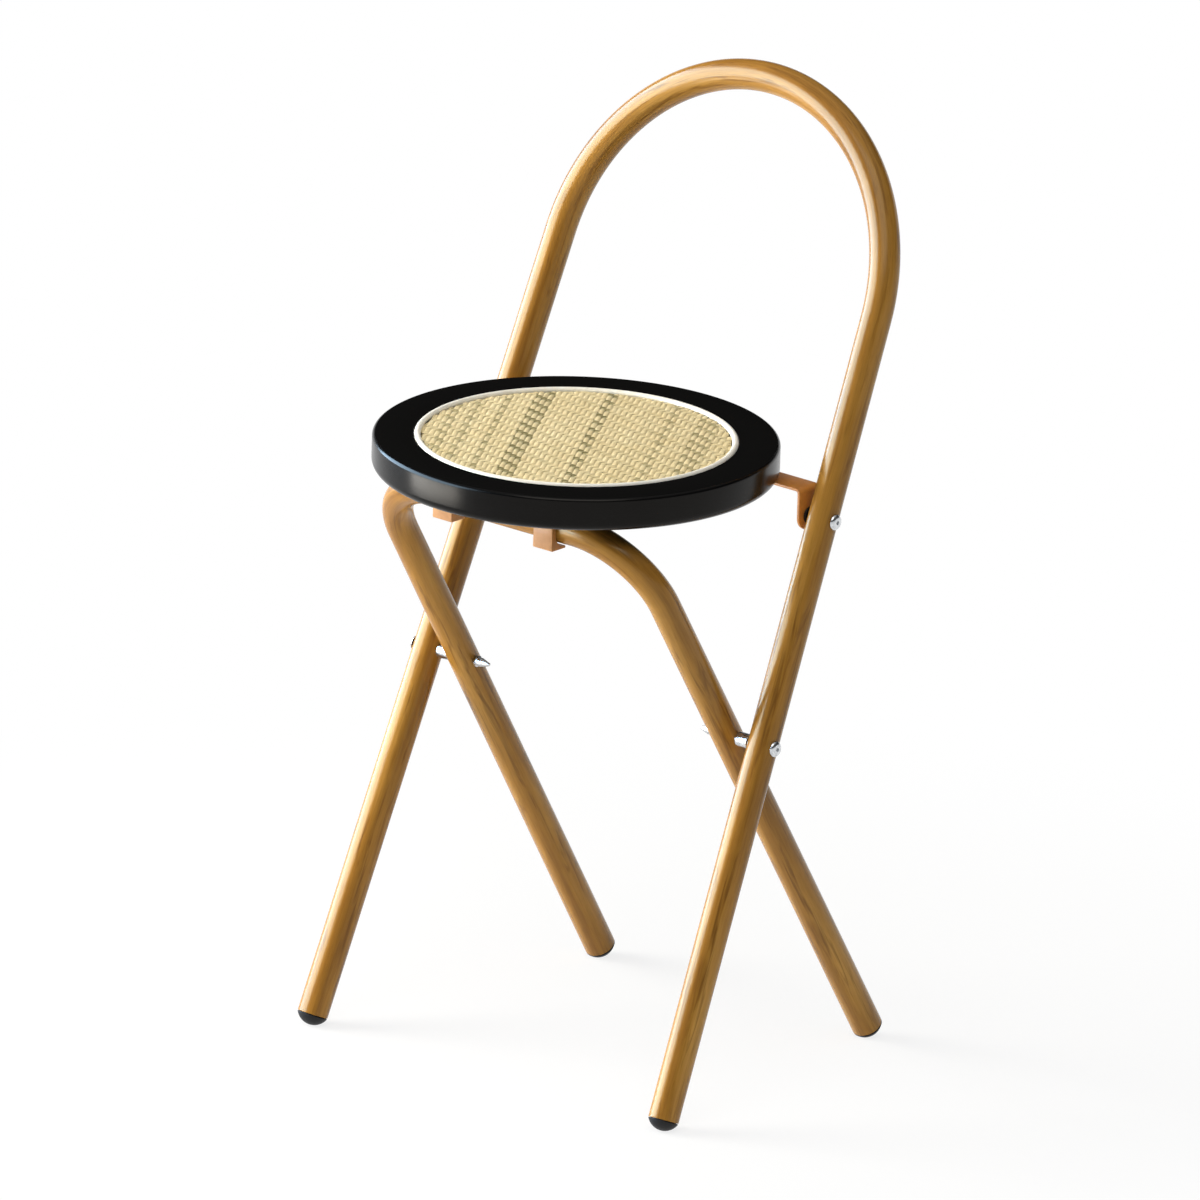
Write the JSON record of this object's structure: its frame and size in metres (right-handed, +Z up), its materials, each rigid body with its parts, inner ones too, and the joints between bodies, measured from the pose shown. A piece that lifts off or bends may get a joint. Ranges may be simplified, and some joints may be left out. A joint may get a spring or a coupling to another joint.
{
  "type": "folding stool",
  "caption": "Folding stool of crossed bent tube frames, with a hooped back and a hinged round seat that has a woven inset.",
  "frame": {"origin": "on the floor, under the middle of the outline of the open stool", "axes": "+Z up, the sitter faces -Y, +X is the sitter's left"},
  "size_m": [0.3972, 0.4057, 0.7799],
  "materials": {
    "wood_film": "steel tube in a satin golden-brown wood-grain film",
    "brown_paint": "steel strap in plain brown paint",
    "black_lacquer": "board in gloss black lacquer",
    "cream_piping": "cream round piping",
    "woven_cord": "beige twill weave with olive-brown stripes",
    "black_plastic": "black moulded plastic",
    "zinc": "bright zinc plate"
  },
  "bodies": {
    "back": {"back_frame": "wood_film", "foot_front_left": "black_plastic", "foot_front_right": "black_plastic", "cross_bolt_left": "zinc", "cross_bolt_right": "zinc", "cross_spacer_left": "zinc", "cross_spacer_right": "zinc", "cross_nut_left": "zinc", "cross_nut_right": "zinc", "seat_bolt_left": "zinc", "seat_bolt_right": "zinc", "seat_spacer_left": "black_plastic", "seat_spacer_right": "black_plastic", "seat_nut_left": "zinc", "seat_nut_right": "zinc"},
    "front": {"front_frame": "wood_film", "foot_rear_left": "black_plastic", "foot_rear_right": "black_plastic"},
    "seat": {"seat_board": "black_lacquer", "seat_ring": "cream_piping", "seat_weave": "woven_cord", "rear_bracket": "brown_paint", "hook_left": "brown_paint", "hook_right": "brown_paint", "bracket_screw_1": "zinc", "bracket_screw_2": "zinc", "bracket_screw_3": "zinc", "bracket_screw_4": "zinc", "hook_screw_left_1": "zinc", "hook_screw_left_2": "zinc", "hook_screw_right_1": "zinc", "hook_screw_right_2": "zinc"}
  },
  "joints": [
    {"name": "fold", "type": "hinge", "parent": "back", "child": "front", "pos_m": [0, -0.00698, 0.29345], "axis": [-1, 0, 0], "range_deg": [0, 47]},
    {"name": "seat_lift", "type": "hinge", "parent": "back", "child": "seat", "pos_m": [0, 0.06485, 0.466], "axis": [-1, 0, 0], "range_deg": [0, 51]}
  ],
  "couplings": [
    {"joint": "seat_lift", "follows": "fold", "ratio": 1.08}
  ]
}
